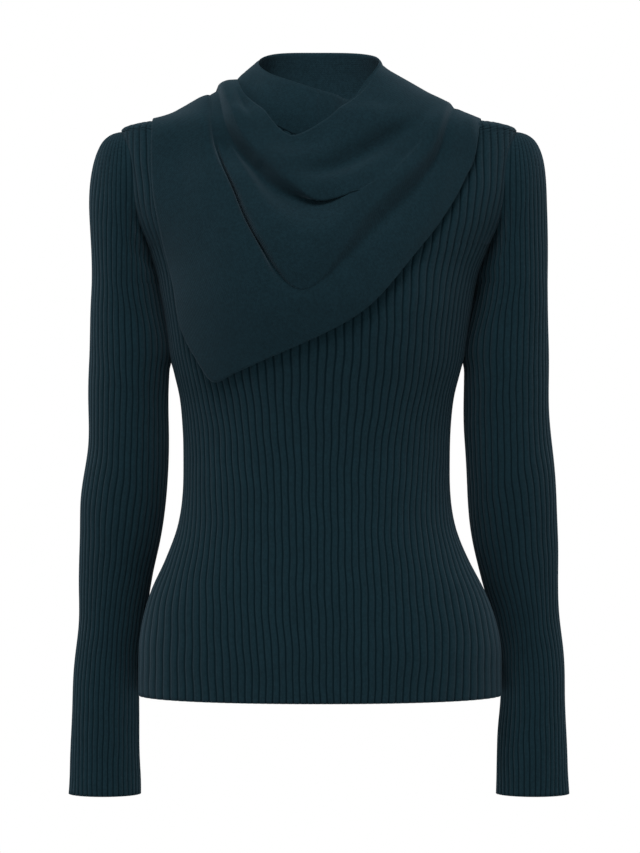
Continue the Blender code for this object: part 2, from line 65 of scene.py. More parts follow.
# Body: height, half width, depth in front, depth behind, squareness, sway to the wearer's left
BODY_ROWS = [
    (-566.0, 167.5, 106.0, 108.0, 2.15, 1.2),
    (-530.0, 167.5, 106.0, 111.0, 2.15, 1.2),
    (-500.0, 164.0, 103.0, 110.0, 2.15, 0.3),
    (-470.0, 154.5, 99.0, 104.0, 2.15, -1.0),
    (-440.0, 140.0, 95.0, 95.0, 2.15, -1.8),
    (-410.0, 128.6, 92.0, 86.0, 2.15, -2.2),
    (-380.0, 123.8, 90.0, 80.0, 2.2, -2.3),
    (-350.0, 123.0, 90.0, 77.0, 2.2, -2.3),
    (-320.0, 123.6, 93.0, 78.0, 2.2, -2.3),
    (-290.0, 126.6, 99.0, 83.0, 2.2, -2.1),
    (-260.0, 133.6, 108.0, 89.0, 2.2, -1.9),
    (-230.0, 137.6, 116.0, 95.0, 2.25, -1.9),
    (-200.0, 142.0, 120.0, 100.0, 2.3, -1.9),
    (-170.0, 148.4, 117.0, 103.0, 2.3, -1.2),
    (-150.0, 157.0, 112.0, 104.0, 2.35, 0.0),
    (-125.0, 172.0, 102.0, 103.0, 2.4, 0.0),
    (-97.0, 181.0, 90.0, 100.0, 2.5, 0.0),
    (-70.0, 184.0, 78.0, 94.0, 2.5, 0.0),
    (-43.0, 183.0, 66.0, 84.0, 2.4, 0.0),
    (-37.2, 172.0, 64.0, 81.0, 2.3, 0.0),
    (-35.0, 159.0, 62.0, 79.0, 2.2, 0.0),
    (-33.9, 140.0, 60.0, 76.0, 2.2, 0.0),
    (-30.0, 121.0, 58.0, 73.0, 2.2, 0.0),
    (-20.0, 90.0, 55.0, 67.0, 2.2, 0.0),
    (-9.0, 68.0, 53.0, 62.0, 2.2, 0.0),
]


class Curve:
    """Smooth curve through a short table: its first column is the key, the rest the values."""

    def __init__(self, rows, period=None, level=False):
        table = np.array(rows, float)
        if period:
            table = np.vstack([table[-2:], table, table[:2]])
            table[:2, 0] -= period
            table[-2:, 0] += period
        self.keys, self.values = table[:, 0], table[:, 1:]
        step = np.diff(self.keys)[:, None]
        rise = np.diff(self.values, axis=0) / step
        slopes = np.empty_like(self.values)
        slopes[0], slopes[-1] = rise[0], rise[-1]
        slopes[1:-1] = (rise[:-1] * step[1:] + rise[1:] * step[:-1]) / (step[1:] + step[:-1])
        if level:
            turning = rise[:-1] * rise[1:] <= 0
            limit = 3 * np.minimum(abs(rise[:-1]), abs(rise[1:]))
            slopes[1:-1] = np.where(turning, 0, np.clip(slopes[1:-1], -limit, limit))
        self.slopes = slopes

    def __call__(self, keys):
        keys = np.clip(np.asarray(keys, float), self.keys[0], self.keys[-1])
        at = np.clip(np.searchsorted(self.keys, keys, side="right") - 1, 0, len(self.keys) - 2)
        step = (self.keys[at + 1] - self.keys[at])[..., None]
        t = (keys - self.keys[at])[..., None] / step
        return ((2 * t**3 - 3 * t**2 + 1) * self.values[at] + (t**3 - 2 * t**2 + t) * step * self.slopes[at]
                + (3 * t**2 - 2 * t**3) * self.values[at + 1] + (t**3 - t**2) * step * self.slopes[at + 1])


body_form = Curve(BODY_ROWS, level=True)


class Quarter:
    """The body's rings, from the middle of one side to the seam, by height and share of their length."""

    TURN = np.linspace(0, math.pi / 2, 241)

    def __init__(self, side):
        self.side = side
        self.heights = np.concatenate([np.arange(HEM, SHOULDER_POINT, 2.0), np.linspace(SHOULDER_POINT, -33.0, 90),
                                       np.linspace(-32.8, NECK_POINT, 60)])
        x, y = self.ring(self.heights[:, None], self.TURN)
        step = np.hypot(np.diff(x), np.diff(y))
        length = np.concatenate([np.zeros((len(x), 1)), np.cumsum(step, 1)], 1)
        self.length = length[:, -1]
        self.share = length / length[:, -1:]
        even = np.linspace(0, 1, 241)
        self.turn = np.array([np.interp(even, row, self.TURN) for row in self.share])

    def ring(self, height, turn):
        """Point of the ring at a turn, without the sway."""
        half, front, back, power, _ = np.moveaxis(body_form(height), -1, 0)
        depth = front if self.side == "front" else back
        return half * np.sin(turn) ** (2 / power), depth * np.cos(turn) ** (2 / power)

    def look_up(self, table, height, place):
        """Value of a table over height and a place of 0 to 1 across it."""
        row = np.interp(height, self.heights, np.arange(len(self.heights)))
        column = np.clip(place, 0, 1) * (table.shape[1] - 1)
        i = np.clip(row.astype(int), 0, len(table) - 2)
        j = np.clip(column.astype(int), 0, table.shape[1] - 2)
        s, t = row - i, column - j
        return ((table[i, j] * (1 - s) + table[i + 1, j] * s) * (1 - t)
                + (table[i, j + 1] * (1 - s) + table[i + 1, j + 1] * s) * t)

    def half_length(self, height):
        return np.interp(height, self.heights, self.length)

    def point(self, height, share):
        turn = self.look_up(self.turn, height, share)
        return self.ring(height, turn)

    def armhole_share(self, height):
        """Share of the ring's length at which the armhole seam crosses it."""
        middle, reach = (UNDERARM + SHOULDER_POINT) / 2, (SHOULDER_POINT - UNDERARM) / 2
        depth = ARMHOLE_DEPTH[self.side] * np.sqrt(1 - np.clip((height - middle) / reach, -1, 1) ** 2)
        _, front, back, power, _ = np.moveaxis(body_form(height), -1, 0)
        turn = np.arccos(np.clip(depth / (front if self.side == "front" else back), 0, 1) ** (power / 2))
        return self.look_up(self.share, height, turn / (math.pi / 2))


quarters = {side: Quarter(side) for side in ("front", "back")}


def shoulder_shares(side):
    """For points of the shoulder seam: share of the panel's half width, and height."""
    turn = Quarter.TURN
    x, y = quarters[side].ring(np.full(len(turn), SHOULDER_POINT), turn)
    length = np.concatenate([[0], np.cumsum(np.hypot(np.diff(x), np.diff(y)))])
    heights = np.linspace(SHOULDER_POINT, NECK_POINT, 120)
    shares = np.interp(body_form(heights)[:, 0], x, length) / length[-1]
    shares[0] = 1.0
    return shares, heights


SHOULDERS = {side: shoulder_shares(side) for side in ("front", "back")}


# Where the sleeves rest against the sides: depths below the neck seam, how fully they lean
# together there, and by how much each leans over at most.
REST_DEPTHS, REST_SHARES = (148.0, 164.0, 206.0, 226.0, 250.0, 264.0), (0.0, 1.25, 1.25, 1.05, 1.0, 0.0)
SLEEVE_REST, SIDE_REST = 2.6, 1.8


def rest_share(height):
    """How fully a sleeve and the body's side lean together at a height, from 0 to 1."""
    return np.interp(-height, REST_DEPTHS, REST_SHARES)


def panel_grid(side, across, up):
    """Points of a panel, and how far each lies from its middle: across is -1 to 1 between the
    seams, up is 0 at the hem, 1 at the underarm's height and 2 at the neckline and shoulder."""
    across, up = np.broadcast_arrays(across, up)
    share = np.minimum(abs(across), 1.0)
    shares, seam = SHOULDERS[side]
    neck = shares[-1]
    top = np.where(share < neck, NECK_POINT - NECK_DROP[side] * (1 - (share / neck) ** 2.6),
                   np.interp(share, shares[::-1], seam[::-1]))
    height = np.where(up <= 1, HEM + (UNDERARM - HEM) * up, UNDERARM + (top - UNDERARM) * (up - 1))
    reach = np.where(height <= SHOULDER_POINT, 1.0, np.interp(height, seam, shares))
    quarter = quarters[side]
    beside_sleeve = (height > UNDERARM) & (height < SHOULDER_POINT)
    edge = np.where(beside_sleeve, quarter.armhole_share(height), 1.0)
    along = np.minimum(share / reach, 1.0) * edge
    x, y = quarter.point(height, along)
    x = x + SIDE_REST * along**6 * rest_share(height)
    forward = -1 if side == "front" else 1
    points = np.stack([np.copysign(x, across) + body_form(height)[..., 4], forward * y, height], -1)
    return points, along * quarter.half_length(height)


def outward_normals(points, flip, closed=False):
    """Unit directions off a grid of points."""
    around = np.concatenate([points[:, -1:], points, points[:, :1]], 1) if closed else points
    across = np.gradient(around, axis=1)[:, 1:-1] if closed else np.gradient(points, axis=1)
    along = np.gradient(points, axis=0)
    normal = np.cross(across, along) * flip
    return normal / np.maximum(np.linalg.norm(normal, axis=-1, keepdims=True), 1e-9)


def rib_columns(ribs):
    """Rib number and place of each column."""
    return (np.arange(ribs)[:, None] + np.array([place for place, _ in RIB_SHAPE])).ravel()


def rib_height(ribs):
    """Height of the knit's face at a rib number and place: in the groove at 0, on the crest at 0.5."""
    places, rises = zip(*RIB_SHAPE, (1.0, 0.0))
    return RIB_GROOVE + (RIB_CREST - RIB_GROOVE) * np.interp(ribs % 1.0, places, rises)


rib_pitch = Curve(RIB_PITCH, level=True)


def rib_spread(side, height):
    """Half length that the ribs are spread over at a height, and how much closer or wider than even
    they stand in the middle. Above the underarm they run on straight and end at the armhole seam."""
    level = np.minimum(height, UNDERARM)
    length = quarters[side].half_length(level)
    return length, length / (PANEL_RIBS / 2) / rib_pitch(level)[..., 0]


def rib_number(side, along, height):
    """Rib number and place, counted from the panel's middle, at a way along the ring."""
    length, middle = rib_spread(side, height)
    share = along / length
    return PANEL_RIBS / 2 * share * (middle + (1 - middle) * share**2)


def rib_across(side, columns, height):
    """Share of the half width at which each column of ribs runs, at heights up to the underarm."""
    even = np.linspace(0, 1, 400)
    _, middle = rib_spread(side, height)
    return np.array([np.interp(abs(columns), even * (m + (1 - m) * even**2), even) for m in middle])


def wander(along, across, waves):
    """Soft unevenness of hand: sum of waves of size, length along, length across, turn of phase."""
    return sum(size * np.sin(along / far + across / wide + phase) for size, far, wide, phase in waves)


def cloth_piece(name, outer, inner, outer_uv, inner_uv, closed):
    """Thin shell between an outer and an inner grid of the same number of rows. A closed one goes
    all round; an open one ends at its side edges."""
    rows = len(outer)
    vertices = np.concatenate([outer.reshape(-1, 3), inner.reshape(-1, 3)]) * MM
    texture = np.concatenate([outer_uv.reshape(-1, 2), inner_uv.reshape(-1, 2)])
    quads, corner_uv = [], []
    base = 0
    ids = []
    for grid, sign in ((outer, 1), (inner, -1)):
        wide = grid.shape[1]
        number = base + np.arange(rows * wide).reshape(rows, wide)
        ids.append(number)
        base += rows * wide
        right = np.roll(number, -1, 1) if closed else number[:, 1:]
        left = number if closed else number[:, :-1]
        quad = np.stack([left[:-1], right[:-1], right[1:], left[1:]], -1).reshape(-1, 4)
        quads.append(quad[:, ::sign])
    first, second = ids
    ratio = outer.shape[1] / inner.shape[1] if closed else (outer.shape[1] - 1) / (inner.shape[1] - 1)
    for r, sign in ((0, -1), (-1, 1)):
        near = (np.round(np.arange(outer.shape[1]) / ratio).astype(int)) % inner.shape[1] if closed else \
            np.round(np.arange(outer.shape[1]) / ratio).astype(int)
        ring, shadow = first[r], second[r][near]
        nxt, shadow_next = (np.roll(ring, -1), np.roll(shadow, -1)) if closed else (ring[1:], shadow[1:])
        here, shadow_here = (ring, shadow) if closed else (ring[:-1], shadow[:-1])
        quads.append(np.stack([here, nxt, shadow_next, shadow_here], -1)[:, ::sign])
    if not closed:
        for c, sign in ((0, 1), (-1, -1)):
            a, b = first[:, c], second[:, c]
            quads.append(np.stack([a[:-1], a[1:], b[1:], b[:-1]], -1)[:, ::sign])
    quads = np.concatenate(quads)
    kept = [len(set(q)) for q in quads[-4 * outer.shape[1] - 4 * rows:]]
    mesh = bpy.data.meshes.new(name)
    faces = [tuple(q) for q in quads[:len(quads) - len(kept)]]
    for quad, corners in zip(quads[len(quads) - len(kept):], kept):
        if corners == 4:
            faces.append(tuple(quad))
        elif corners == 3:
            faces.append(tuple(dict.fromkeys(quad.tolist())))
    mesh.from_pydata(vertices, [], faces)
    layer = mesh.uv_layers.new(name="knit")
    loops = np.empty(len(mesh.loops), np.int32)
    mesh.loops.foreach_get("vertex_index", loops)
    layer.data.foreach_set("uv", texture[loops].astype(np.float32).ravel())
    mesh.shade_smooth()
    mesh.update()
    piece = bpy.data.objects.new(name, mesh)
    bpy.context.scene.collection.objects.link(piece)
    return piece


class Value:
    """Shader value of one material that takes arithmetic."""

    def __init__(self, tree, socket):
        self.tree, self.socket = tree, socket

    def node(self, kind, settings=(), **inputs):
        """Any other node: its settings first, then its sockets by name."""
        made = self.tree.nodes.new(kind)
        for key, value in dict(settings).items():
            setattr(made, key, value)
        for key, value in inputs.items():
            self.join(made.inputs[int(key[1:]) if key[0] == "_" else key], value)
        return made

    def join(self, socket, value):
        if isinstance(value, Value):
            self.tree.links.new(value.socket, socket)
        else:
            socket.default_value = value

    def math(self, operation, *values):
        made = self.tree.nodes.new("ShaderNodeMath")
        made.operation = operation
        for socket, value in zip(made.inputs, values):
            self.join(socket, value)
        return Value(self.tree, made.outputs[0])

    def __add__(self, other):
        return self.math("ADD", self, other)

    def __mul__(self, other):
        return self.math("MULTIPLY", self, other)

    def __sub__(self, other):
        return self.math("SUBTRACT", self, other)

    def __rsub__(self, other):
        return self.math("SUBTRACT", other, self)

    def __truediv__(self, other):
        return self.math("DIVIDE", self, other)

    __radd__, __rmul__ = __add__, __mul__

    def fract(self):
        return self.math("FRACT", self)

    def ease(self, start, end):
        """0 at start, 1 at end, smooth between."""
        made = self.node("ShaderNodeMapRange", {"interpolation_type": "SMOOTHSTEP"}, Value=self)
        made.inputs["From Min"].default_value, made.inputs["From Max"].default_value = start, end
        return Value(self.tree, made.outputs["Result"])

    def mix(self, first, second):
        """Colour between two, by this value."""
        made = self.tree.nodes.new("ShaderNodeMix")
        made.data_type = "RGBA"
        self.join(made.inputs[0], self)
        self.join(made.inputs[6], first)
        self.join(made.inputs[7], second)
        return Value(self.tree, made.outputs[2])


def wool(name, colour, groove_shade_colour, ribbed, stitch):
    """Matte wool knit. UV u counts ribs, or stitches in plain knit; v is metres along the wale.
    stitch is (stitches to a unit of u, rows of stitches to a metre)."""
    material = bpy.data.materials.new(name)
    material.use_nodes = True
    tree = material.node_tree
    shader = tree.nodes["Principled BSDF"]
    start = Value(tree, None)
    uv = start.node("ShaderNodeUVMap", {"uv_map": "knit"})
    split = start.node("ShaderNodeSeparateXYZ", _0=Value(tree, uv.outputs[0]))
    u, v = Value(tree, split.outputs[0]), Value(tree, split.outputs[1])
    place = Value(tree, start.node("ShaderNodeTexCoord").outputs["Object"])

    def cloud(scale, detail):
        made = start.node("ShaderNodeTexNoise", Vector=place, Scale=scale, Detail=detail, Roughness=0.6)
        return Value(tree, made.outputs["Fac"])

    # A stitch is a V: two slanted legs whose rows climb towards the stitch's edges.
    leg = (u * stitch[0]).fract() - 0.5
    lean = leg.math("ABSOLUTE", leg)
    row = (v * stitch[1] + lean * 0.9).fract() - 0.5
    yarn = 1.0 - row.math("ABSOLUTE", row) * 2.0
    height = yarn * 0.5 + lean.ease(0.0, 0.3) * 0.5
    fuzz = cloud(1900.0, 3.0)
    broad = cloud(55.0, 3.0)
    heather = cloud(420.0, 2.0)
    shade = heather.ease(0.3, 0.7) * 0.5 + fuzz.ease(0.3, 0.7) * 0.3 + broad.ease(0.25, 0.75) * 0.2
    light = tuple(c * 1.28 for c in colour)
    dark = tuple(c * 0.72 for c in colour)
    tone = shade.mix((*dark, 1.0), (*light, 1.0))
    # In ribbed knit the grooves between the ribs are painted darker: painted shade for the shadow that lies in them.
    if ribbed:
        across = u.fract() - 0.5
        groove = across.math("ABSOLUTE", across).ease(0.3, 0.48)
        tone = groove.mix(tone, (*groove_shade_colour, 1.0))
    start.join(shader.inputs["Base Color"], tone)
    shader.inputs["Roughness"].default_value = 0.95
    shader.inputs["Specular IOR Level"].default_value = 0.03
    shader.inputs["Sheen Weight"].default_value = 0.09
    shader.inputs["Sheen Roughness"].default_value = 0.55
    shader.inputs["Sheen Tint"].default_value = (0.55, 0.8, 1.0, 1.0)
    bump = start.node("ShaderNodeBump", Height=height * 0.6 + fuzz * 0.7, Strength=0.5)
    bump.inputs["Distance"].default_value = 0.0005
    tree.links.new(bump.outputs[0], shader.inputs["Normal"])
    return material


# The rib knit's second colour is the painted shade of its grooves.
rib_wool = wool("rib_wool", (0.0052, 0.0172, 0.0236), (0.0004, 0.0060, 0.0090), True, (3.0, 620.0))
LINING_EVERY = 4
SEAM_RELIEF = 0.2
# Wander of the ribs sideways, in ribs: size, length along, ribs across, turn of phase
MEANDER = [(0.09, 31.0, 5.0, 0.3), (0.06, 13.0, -3.0, 1.9), (0.04, 6.5, 2.1, 4.0)]


def knit_panel(name, side, waves):
    """One panel with its ribs, its shallow unevenness and a plain inside."""
    forward = 1 if side == "front" else -1
    columns = np.append(rib_columns(PANEL_RIBS), PANEL_RIBS) / (PANEL_RIBS / 2) - 1
    up = np.concatenate([np.linspace(0, 1, 118, endpoint=False), 1 + (1 - np.cos(np.linspace(0, math.pi, 48))) / 2])
    across = rib_across(side, columns, HEM + (UNDERARM - HEM) * np.minimum(up, 1)) * np.sign(columns)
    points, along = panel_grid(side, across, up[:, None])
    height = points[..., 2]
    number = PANEL_RIBS / 2 + np.copysign(rib_number(side, along, height), across)
    number = number + wander(height, number, MEANDER)
    normals = outward_normals(points, forward)
    lift = wander(height, across * 160, waves)
    fade = np.minimum(np.clip((1 - abs(across)) / 0.06, 0, 1), np.clip((2 - up) / 0.1, 0, 1)[:, None])
    edge = np.where(up[:, None] < 1, 1.0, np.clip((1 - abs(across)) / 0.02, 0, 1))
    relief = SEAM_RELIEF + (rib_height(number) - SEAM_RELIEF) * edge
    outer = points + normals * (relief + lift * fade)[..., None]
    lining = np.arange(0, len(columns), LINING_EVERY)
    inner = (points + normals * (lift * fade - WALL)[..., None])[:, lining]
    for grid in (outer, inner):
        bound = SIDE_SEAM_GAP / 2 * forward
        grid[..., 1] = np.minimum(grid[..., 1], -bound) if side == "front" else np.maximum(grid[..., 1], -bound)
    outer_uv = np.stack([number, height * MM], -1)
    piece = cloth_piece(name, outer, inner, outer_uv, outer_uv[:, lining], False)
    piece.data.materials.append(rib_wool)
    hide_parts(name)
    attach(piece, "root")
    return piece


front = knit_panel("body_front", "front", [(0.5, 70.0, 40.0, 0.4), (0.35, 33.0, 55.0, 2.0), (0.25, 21.0, -30.0, 4.1)])
front.name = "front_panel"

# BACK PANEL
# The same rib knit from the back neck to the hem, linked to the front at the sides and shoulders.
back = knit_panel("body_back", "back", [(0.5, 64.0, -46.0, 1.4), (0.35, 37.0, 50.0, 0.3), (0.25, 23.0, 31.0, 2.6)])
back.name = "back_panel"

# SLEEVES
# Two rib-knit tubes, 40 ribs round, each linked into its armhole and hanging past the hip.
SLEEVE_RIBS = 40
SLEEVE_HEAD_SHARE = 0.24
SLEEVE_SET_OUT = -0.4
# Wander of the sleeves' ribs, in ribs: size, length along, waves round, turn of phase
SLEEVE_MEANDER = [(0.10, 28.0, 2, 0.3), (0.07, 12.0, 3, 1.9), (0.04, 6.0, 5, 4.0)]
# Sleeves: height, inner and outer edge of the wearer's right and left sleeve, middle, half depth
SLEEVE_ROWS = [
    (-185.0, 150.8, 211.5, 148.6, 211.5, 4.0, 47.0),
    (-257.0, 139.7, 213.0, 136.2, 213.2, 6.0, 46.0),
    (-330.0, 141.6, 215.2, 137.0, 216.2, 10.0, 44.0),
    (-385.0, 143.8, 221.5, 139.2, 220.8, 15.0, 42.5),
    (-422.0, 149.0, 222.8, 144.6, 222.8, 20.0, 40.0),
    (-460.0, 156.8, 224.0, 153.6, 224.0, 25.0, 37.5),
    (-497.0, 164.2, 225.6, 164.6, 225.6, 29.0, 35.5),
    (-534.0, 169.0, 228.4, 170.6, 228.4, 31.0, 34.0),
    (-571.0, 169.4, 230.0, 171.0, 230.0, 29.0, 32.5),
    (-608.0, 168.8, 231.6, 168.8, 231.6, 25.0, 31.5),
    (-660.0, 167.4, 233.4, 166.4, 233.4, 18.0, 30.5),
]
sleeve_form = Curve(SLEEVE_ROWS[::-1], level=True)


def armhole_curve(turn):
    """Start of a sleeve beside the armhole seam: turn 0 at the underarm, 0.25 in front."""
    angle = math.tau * np.where(turn <= 0.5, turn, 1 - turn)
    height = (UNDERARM + SHOULDER_POINT) / 2 - (SHOULDER_POINT - UNDERARM) / 2 * np.cos(angle)
    half, front_depth, back_depth, power, _ = np.moveaxis(body_form(height), -1, 0)
    ahead = turn <= 0.5
    depth = np.where(ahead, ARMHOLE_DEPTH["front"], ARMHOLE_DEPTH["back"]) * np.sin(angle)
    room = 1 - (depth / np.where(ahead, front_depth, back_depth)) ** power
    return np.stack([half * room ** (1 / power) + SLEEVE_SET_OUT, np.where(ahead, -depth, depth), height], -1)


def sleeve_ring(turn, height, hand):
    """Points of a sleeve's rings below the armhole; hand is -1 for the wearer's right."""
    row = np.moveaxis(sleeve_form(height), -1, 0)
    low, high = (row[0], row[1]) if hand < 0 else (row[2], row[3])
    angle = math.tau * turn
    return np.stack([(low + high) / 2 - (high - low) / 2 * np.cos(angle),
                     row[4] - row[5] * np.sin(angle), height + 0 * turn], -1)


def sleeve_grid(hand, turn, down):
    """Points of a sleeve: down is 0 at the armhole and 1 at the cuff."""
    turn, down = np.broadcast_arrays(turn, down)
    head, cuff = SLEEVE_ROWS[0][0], SLEEVE_ROWS[-1][0]
    share = np.clip((down - SLEEVE_HEAD_SHARE) / (1 - SLEEVE_HEAD_SHARE), 0, 1)
    low = sleeve_ring(turn, head + (cuff - head) * share, hand)
    t = np.clip(down / SLEEVE_HEAD_SHARE, 0, 1)[..., None]
    over = ((1 - np.cos(math.tau * turn)) / 2)[..., None]
    start, end = armhole_curve(turn), sleeve_ring(turn, np.full(turn.shape, head), hand)
    leave = np.array([-3.0, 2.0, -35.0]) * (1 - over) + np.array([114.0, 0.0, -5.0]) * over
    arrive = np.concatenate([0 * over, 0 * over, -35.0 - 165.0 * over], -1)
    high = ((2 * t**3 - 3 * t**2 + 1) * start + (t**3 - 2 * t**2 + t) * leave
            + (3 * t**2 - 2 * t**3) * end + (t**3 - t**2) * arrive)
    point = np.where((down >= SLEEVE_HEAD_SHARE)[..., None], low, high)
    inner = np.maximum(0, np.cos(math.tau * turn)) ** 2
    point[..., 0] -= SLEEVE_REST * inner * rest_share(point[..., 2])
    return point * (hand, 1, 1)


def sleeve_ribs(points, turn, down, hand):
    """Rib number and place on a sleeve, and how far the ribs stand out. In the head they run
    straight up and end at the armhole seam."""
    row = sleeve_form(SLEEVE_ROWS[0][0])
    low, high = (row[0], row[1]) if hand < 0 else (row[2], row[3])
    x = (points[..., 0] * hand - (low + high) / 2) / (high - low) * 2
    y = (points[..., 1] - row[4]) / row[5]
    in_head = np.arctan2(-y, -x) / math.tau % 1.0
    # The same turn is kept on both sides of the start of the count.
    in_head += np.round(turn - in_head)
    near = np.hypot(x, y)
    head = down < SLEEVE_HEAD_SHARE
    number = SLEEVE_RIBS * np.where(head, in_head, turn)
    return number, np.where(head, np.clip((near - 0.3) / 0.35, 0, 1), 1.0)


def knit_sleeve(name, hand, waves):
    """One sleeve with its ribs, soft folds and a plain inside."""
    turn = rib_columns(SLEEVE_RIBS)[None] / SLEEVE_RIBS
    down = np.concatenate([np.linspace(0, 0.06, 14, endpoint=False), np.linspace(0.06, 1, 146)])[:, None]
    points = sleeve_grid(hand, turn, down)
    turn, down = np.broadcast_arrays(turn, down)
    normals = outward_normals(points, -hand, closed=True)
    number, stand = sleeve_ribs(points, turn, down, hand)
    way = down * 600
    number = number + sum(size * np.sin(way / far + math.tau * np.round(slant) * turn + phase)
                          for size, far, slant, phase in SLEEVE_MEANDER)
    lift = sum(size * np.sin(way / far + np.cos(math.tau * turn + phase) * slant) for size, far, slant, phase in waves)
    fade = np.clip(down / 0.15, 0, 1) * np.clip((1 - down) / 0.04, 0, 1)
    stand = stand * np.clip(down / 0.012, 0, 1)
    relief = SEAM_RELIEF + (rib_height(number) - SEAM_RELIEF) * stand
    outer = points + normals * (relief + lift * fade)[..., None]
    lining = np.arange(0, turn.shape[1], LINING_EVERY)
    inner = (points + normals * (lift * fade - WALL)[..., None])[:, lining]
    uv = np.stack([number, -way * MM], -1)
    piece = cloth_piece(name, outer, inner, uv, uv[:, lining], True)
    piece.data.materials.append(rib_wool)
    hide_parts(name)
    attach(piece, "root")
    return piece


sleeve_right = knit_sleeve("sleeve_right", -1, [(0.7, 24.0, 1.4, 0.5), (0.4, 13.0, 2.2, 2.4)])
sleeve_right.name = "right_sleeve"
sleeve_left = knit_sleeve("sleeve_left", 1, [(0.7, 26.0, 1.5, 3.0), (0.4, 14.0, 2.0, 1.1)])
sleeve_left.name = "left_sleeve"

# COLLAR
# A low plain-knit stand linked to the neckline, open in front under the scarf.
plain_wool = wool("plain_wool", (0.0047, 0.0152, 0.0208), (0.0010, 0.0060, 0.0090), False, (1.0, 620.0))
# The collar's inside is the same knit painted paler, as painted light for the light that falls into the neck.
inside_wool_painted_light = wool("inside_wool_painted_light", (0.0105, 0.0285, 0.0385), (0.0010, 0.0060, 0.0090), False, (1.0, 620.0))
COLLAR_WALL, COLLAR_SET_IN = 1.8, 1.7
STITCH_WIDE = 2.0
# Collar: turn from the front towards the wearer's left in degrees, height and reach of its rim
# from the axis, bulge of its wall
COLLAR_RIM = [
    (0, -8.0, 46.0, 2.5), (18, -12.0, 47.0, 2.5), (38, -16.0, 47.0, 2.5), (62, 3.0, 50.0, 2.5),
    (90, 22.0, 57.0, 2.5), (110, 29.0, 58.6, 2.5), (135, 34.5, 59.0, 2.5), (180, 37.5, 58.0, 2.5),
    (225, 34.5, 60.0, 3.0), (250, 28.0, 58.5, 8.0), (270, 21.0, 57.3, 13.0), (300, 9.0, 53.0, 9.0),
    (330, 0.0, 48.0, 4.0), (360, -8.0, 46.0, 2.5),
]
collar_rim = Curve(COLLAR_RIM)


def collar_grid(turn, up):
    """Points of the collar: turn in degrees, up is 0 on the neck seam and 1 at the rim."""
    half_turn = np.where(turn <= 180, turn, turn - 360)
    feet = []
    for side in ("front", "back"):
        way = half_turn / 90 if side == "front" else np.copysign(2 - abs(half_turn) / 90, half_turn)
        feet.append(panel_grid(side, np.clip(way, -1, 1) * SHOULDERS[side][0][-1], np.full(len(turn), 2.0))[0])
    foot = np.where((abs(half_turn) <= 90)[:, None], *feet)
    foot[:, :2] *= 1 - (WALL + COLLAR_SET_IN) / np.hypot(foot[:, :1], foot[:, 1:2])
    height, reach, bulge = collar_rim(turn).T
    angle = np.radians(turn)
    rim = np.stack([reach * np.sin(angle), -reach * np.cos(angle), height], -1)
    out = np.stack([np.sin(angle), -np.cos(angle), 0 * angle], -1)
    up = up[:, None, None]
    return foot + (rim - foot) * up + out * bulge[:, None] * np.sin(math.pi * up), out


turns = np.arange(180) * 2.0
outer, out = collar_grid(turns, np.linspace(0, 1, 24))
inner = outer - out[None] * COLLAR_WALL
# The rim is turned over softly.
outer[-1] = outer[-1] - out * 0.5 - (0, 0, 0.4)
inner[-1] = inner[-1] + out * 0.5 - (0, 0, 0.4)
ridge = (outer[-1] + inner[-1]) / 2 + (0, 0, 0.5)
outer = np.concatenate([outer, ridge[None]])
inner = np.concatenate([inner, ridge[None] - out * 0.05])
way = np.linspace(0, 0.05, len(outer))[:, None]
uv = np.stack(np.broadcast_arrays(turns[None] * 0.93 / STITCH_WIDE, way), -1)
collar = cloth_piece("neck_collar", outer, inner, uv, uv, True)
collar.data.materials.append(plain_wool)
collar.data.materials.append(inside_wool_painted_light)
face_of_knit = (len(outer) - 1) * outer.shape[1]
# The inside faces take the knit painted paler, as painted light.
for face in collar.data.polygons[face_of_knit:2 * face_of_knit]:
    face.material_index = 1
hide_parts("collar")
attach(collar, "root")

# SCARF DRAPE
# A wide band of plain knit sewn to the collar behind, gathered on the shoulders and drawn across
# the neck in soft folds; it hangs in a rounded point over the chest.
SCARF_WALL, SCARF_CLEARANCE = 1.4, 3.4
# Bed of the scarf over the shoulders: height, half width, depth in front, depth behind, squareness
SCARF_BED_ROWS = [
    (-46.0, 188.0, 78.0, 94.0, 2.45),
    (-40.5, 176.0, 77.0, 93.0, 2.45),
    (-35.8, 161.0, 76.0, 92.0, 2.4),
    (-33.2, 150.0, 75.0, 90.0, 2.4),
    (-30.0, 140.0, 73.0, 88.0, 2.4),
    (-23.5, 127.0, 70.0, 85.0, 2.4),
    (-16.5, 114.0, 67.0, 82.0, 2.4),
    (-9.7, 101.0, 64.0, 79.0, 2.35),
    (-2.6, 88.0, 62.0, 77.0, 2.3),
    (5.0, 75.0, 61.0, 75.0, 2.3),
    (14.0, 62.0, 59.0, 72.0, 2.3),
    (23.0, 55.0, 55.0, 68.0, 2.2),
    (32.0, 50.0, 50.0, 62.0, 2.2),
    (38.0, 36.0, 36.0, 45.0, 2.2),
    (40.0, 4.0, 4.0, 5.0, 2.2),
]
